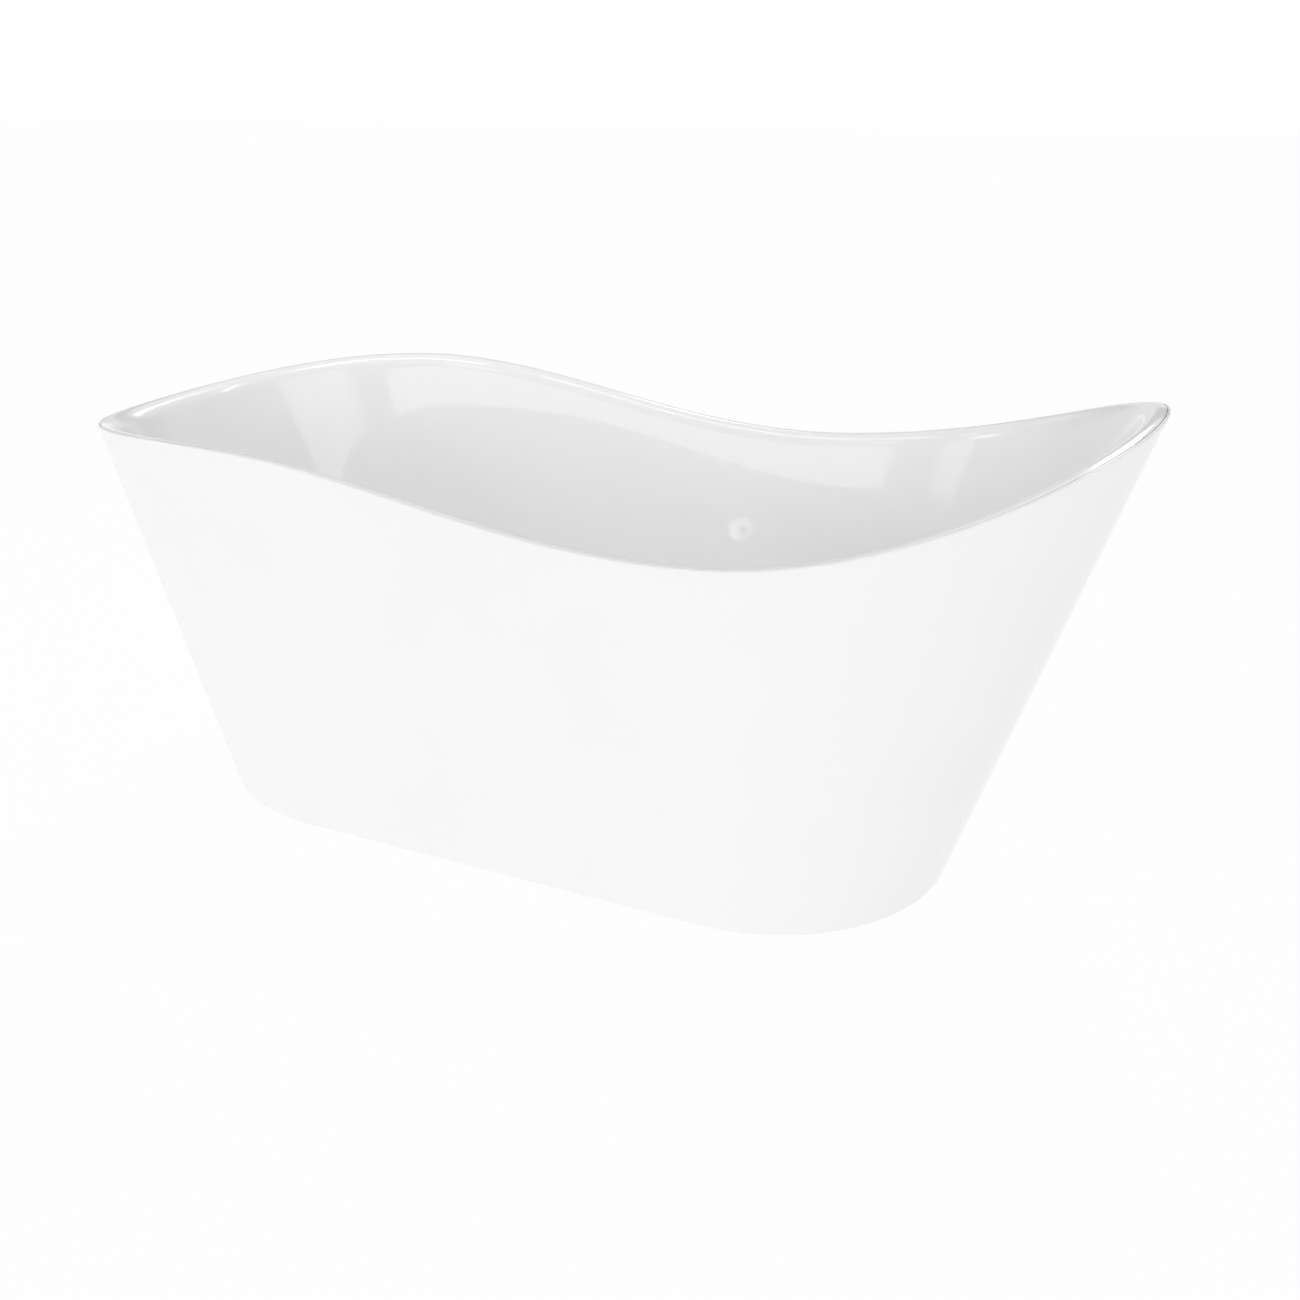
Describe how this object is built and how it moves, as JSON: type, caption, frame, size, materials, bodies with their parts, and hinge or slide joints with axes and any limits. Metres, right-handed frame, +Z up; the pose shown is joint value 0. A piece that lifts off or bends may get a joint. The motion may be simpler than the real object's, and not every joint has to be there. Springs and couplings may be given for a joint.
{
  "type": "freestanding bathtub",
  "caption": "Freestanding white acrylic bathtub with a flared one-piece skirt, a wave-shaped rolled rim rising to one end, push-to-open waste, overflow and levelling feet",
  "frame": {"origin": "on the floor under the middle of the tub, level with the undersides of the feet", "axes": "+X along the tub towards its high end, -Y towards the front with the overflow, +Z up"},
  "size_m": [1.7036, 0.7224, 0.7293],
  "materials": {
    "white_acrylic": "high gloss white acrylic",
    "waterproof_board": "sealed board",
    "galvanised_steel": "galvanised",
    "zinc_plated_steel": "bright zinc plate",
    "chrome": "polished",
    "brass": "turned",
    "spring_steel": "drawn wire",
    "black_rubber": "moulded",
    "white_plastic": "moulded",
    "dark_plastic": "moulded"
  },
  "bodies": {
    "tub": {"inner_basin": "white_acrylic", "outer_skirt": "white_acrylic", "base_board": "waterproof_board", "leg_bar_left": "galvanised_steel", "leg_bar_right": "galvanised_steel", "board_screw_left_front": "zinc_plated_steel", "board_screw_left_back": "zinc_plated_steel", "board_screw_right_front": "zinc_plated_steel", "board_screw_right_back": "zinc_plated_steel", "foot_front_left_nut_lower": "zinc_plated_steel", "foot_front_left_nut_upper": "zinc_plated_steel", "foot_back_left_nut_lower": "zinc_plated_steel", "foot_back_left_nut_upper": "zinc_plated_steel", "foot_front_right_nut_lower": "zinc_plated_steel", "foot_front_right_nut_upper": "zinc_plated_steel", "foot_back_right_nut_lower": "zinc_plated_steel", "foot_back_right_nut_upper": "zinc_plated_steel", "waste_flange": "chrome", "waste_seal_upper": "black_rubber", "waste_seal_lower": "black_rubber", "waste_back_nut": "brass", "waste_body": "white_plastic", "plug_cartridge": "brass", "plug_spring": "spring_steel", "trap_cup": "white_plastic", "trap_dip_tube": "white_plastic", "trap_union_nut": "dark_plastic", "trap_outlet_nut": "dark_plastic", "overflow_cover": "chrome", "overflow_screw": "chrome", "overflow_gasket": "black_rubber", "overflow_elbow": "white_plastic", "overflow_pipe": "white_plastic", "overflow_nut_lower": "dark_plastic", "overflow_nut_upper": "dark_plastic"},
    "plug": {"plug_cap": "chrome", "plug_seal": "black_rubber", "plug_stem": "brass"},
    "foot_front_left": {"foot_front_left_pad": "dark_plastic"},
    "stud_front_left": {"foot_front_left_stud": "zinc_plated_steel"},
    "foot_back_left": {"foot_back_left_pad": "dark_plastic"},
    "stud_back_left": {"foot_back_left_stud": "zinc_plated_steel"},
    "foot_front_right": {"foot_front_right_pad": "dark_plastic"},
    "stud_front_right": {"foot_front_right_stud": "zinc_plated_steel"},
    "foot_back_right": {"foot_back_right_pad": "dark_plastic"},
    "stud_back_right": {"foot_back_right_stud": "zinc_plated_steel"}
  },
  "joints": [
    {"name": "plug_lift", "type": "slide", "parent": "tub", "child": "plug", "axis": [0, 0, 1], "range_m": [0, 0.009], "deforming": ["plug_spring"]},
    {"name": "foot_front_left_height", "type": "slide", "parent": "tub", "child": "foot_front_left", "axis": [0, 0, 1], "range_m": [-0.0101, 0.0076]},
    {"name": "stud_front_left_turn", "type": "hinge", "parent": "foot_front_left", "child": "stud_front_left", "pos_m": [-0.4, -0.235, 0.08], "axis": [0, 0, 1], "range_deg": [-2430, 1830]},
    {"name": "foot_back_left_height", "type": "slide", "parent": "tub", "child": "foot_back_left", "axis": [0, 0, 1], "range_m": [-0.0101, 0.0076]},
    {"name": "stud_back_left_turn", "type": "hinge", "parent": "foot_back_left", "child": "stud_back_left", "pos_m": [-0.4, 0.235, 0.08], "axis": [0, 0, 1], "range_deg": [-2430, 1830]},
    {"name": "foot_front_right_height", "type": "slide", "parent": "tub", "child": "foot_front_right", "axis": [0, 0, 1], "range_m": [-0.0101, 0.0076]},
    {"name": "stud_front_right_turn", "type": "hinge", "parent": "foot_front_right", "child": "stud_front_right", "pos_m": [0.4, -0.235, 0.08], "axis": [0, 0, 1], "range_deg": [-2430, 1830]},
    {"name": "foot_back_right_height", "type": "slide", "parent": "tub", "child": "foot_back_right", "axis": [0, 0, 1], "range_m": [-0.0101, 0.0076]},
    {"name": "stud_back_right_turn", "type": "hinge", "parent": "foot_back_right", "child": "stud_back_right", "pos_m": [0.4, 0.235, 0.08], "axis": [0, 0, 1], "range_deg": [-2430, 1830]}
  ],
  "couplings": [
    {"joint": "stud_front_left_turn", "follows": "foot_front_left_height", "rad_per_m": 4188.8},
    {"joint": "stud_back_left_turn", "follows": "foot_back_left_height", "rad_per_m": 4188.8},
    {"joint": "stud_front_right_turn", "follows": "foot_front_right_height", "rad_per_m": 4188.8},
    {"joint": "stud_back_right_turn", "follows": "foot_back_right_height", "rad_per_m": 4188.8}
  ]
}
